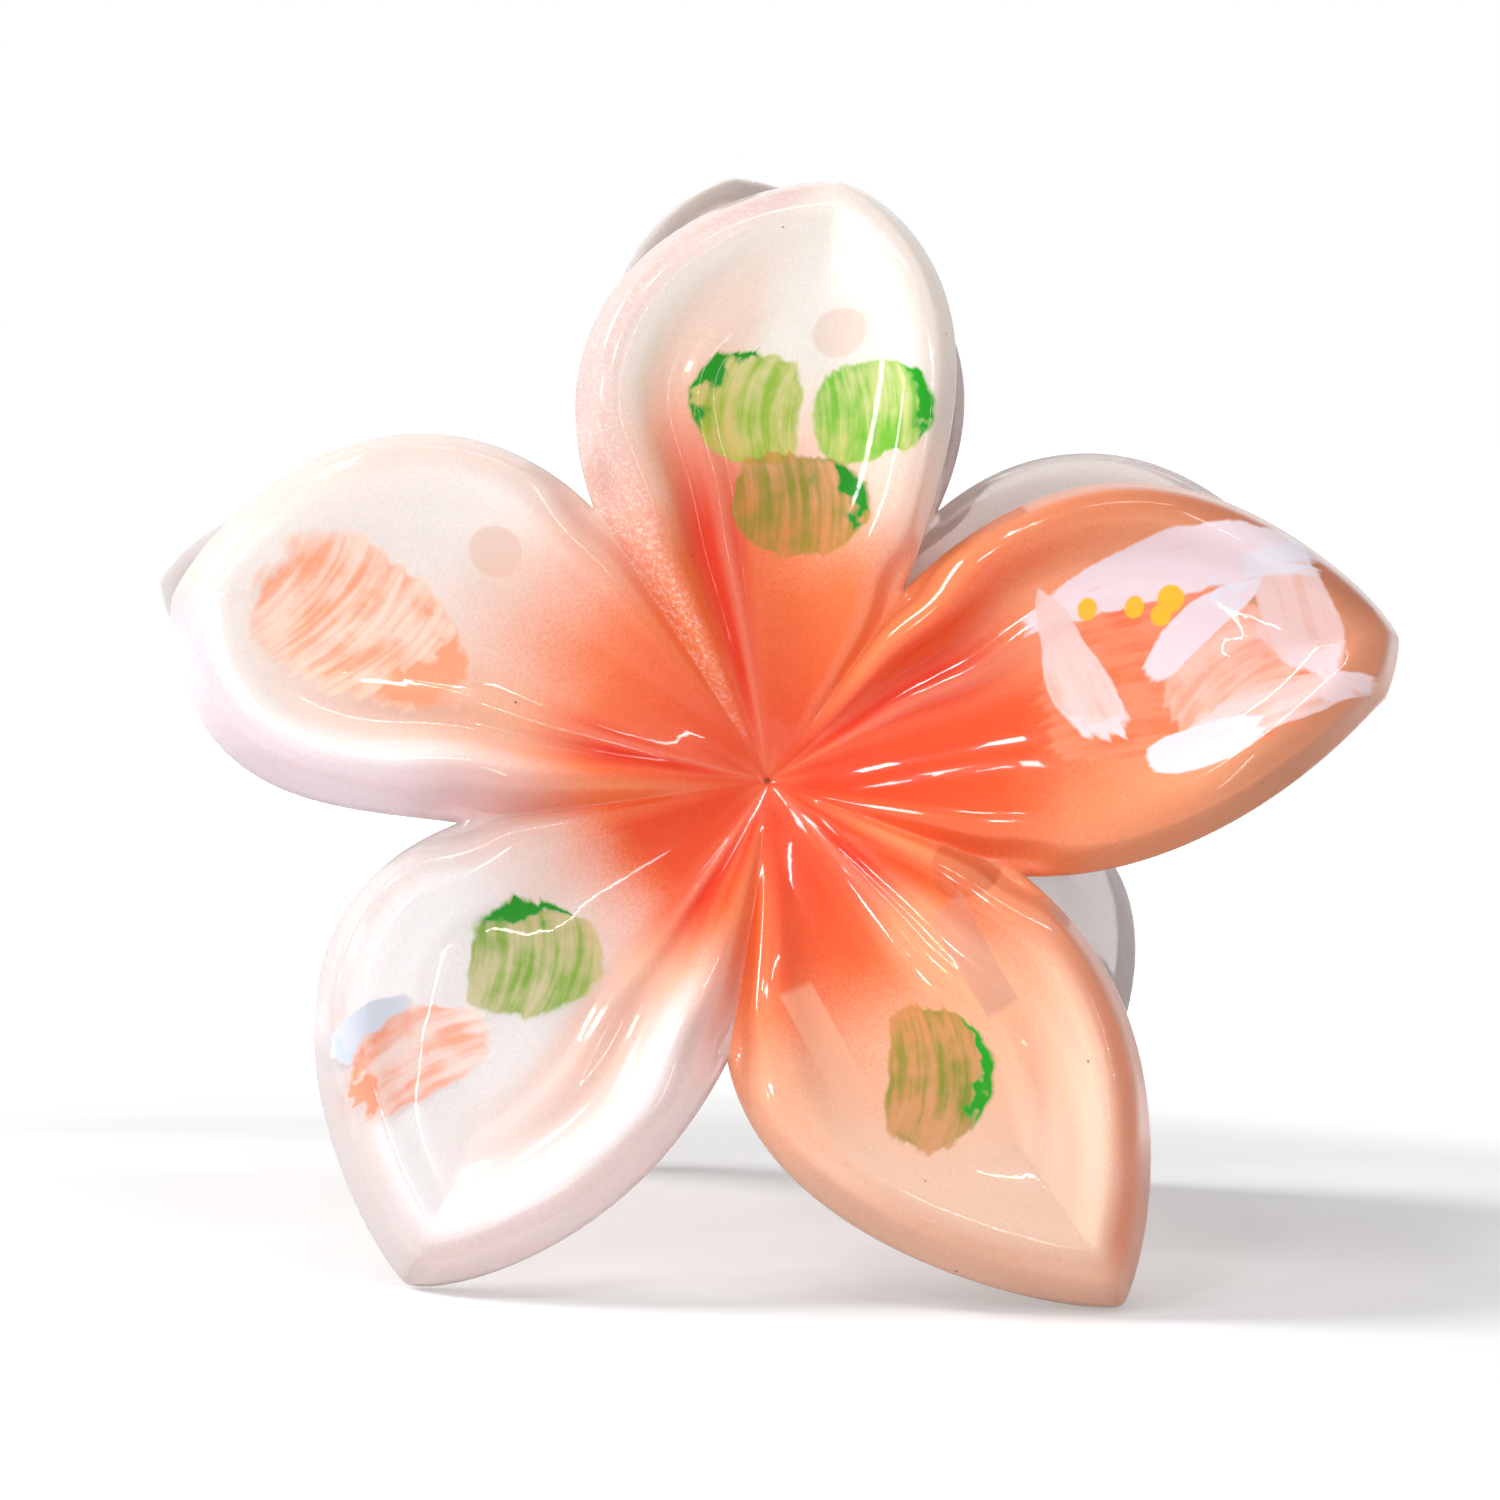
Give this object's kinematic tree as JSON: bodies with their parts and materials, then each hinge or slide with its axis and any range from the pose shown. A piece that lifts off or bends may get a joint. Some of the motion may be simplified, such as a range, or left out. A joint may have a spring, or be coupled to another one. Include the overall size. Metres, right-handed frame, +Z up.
{
  "type": "flower hair claw",
  "caption": "Sprung hair claw made of two moulded flower jaws, back to back on a hinge pin, standing on its lower petals.",
  "frame": {"origin": "on the floor, straight under the middle of the hinge axis", "axes": "+Z up, X along the hinge pin, the front flower faces -Y"},
  "size_m": [0.0812, 0.0534, 0.07],
  "materials": {
    "petals": "clear moulded plastic, sprayed from the back and painted, high gloss",
    "pin": "drawn steel pin",
    "spring": "drawn spring wire"
  },
  "bodies": {
    "front_jaw": {"front_flower_jaw": "petals", "hinge_pin": "pin", "torsion_spring": "spring"},
    "rear_jaw": {"rear_flower_jaw": "petals"}
  },
  "joints": [
    {"name": "jaw_hinge", "type": "hinge", "parent": "front_jaw", "child": "rear_jaw", "pos_m": [0, 0, 0.03136], "axis": [-1, 0, 0], "range_deg": [0, 50], "stiffness_Nm_per_rad": 0.1, "springref_deg": -85.94, "deforming": ["torsion_spring"]}
  ]
}
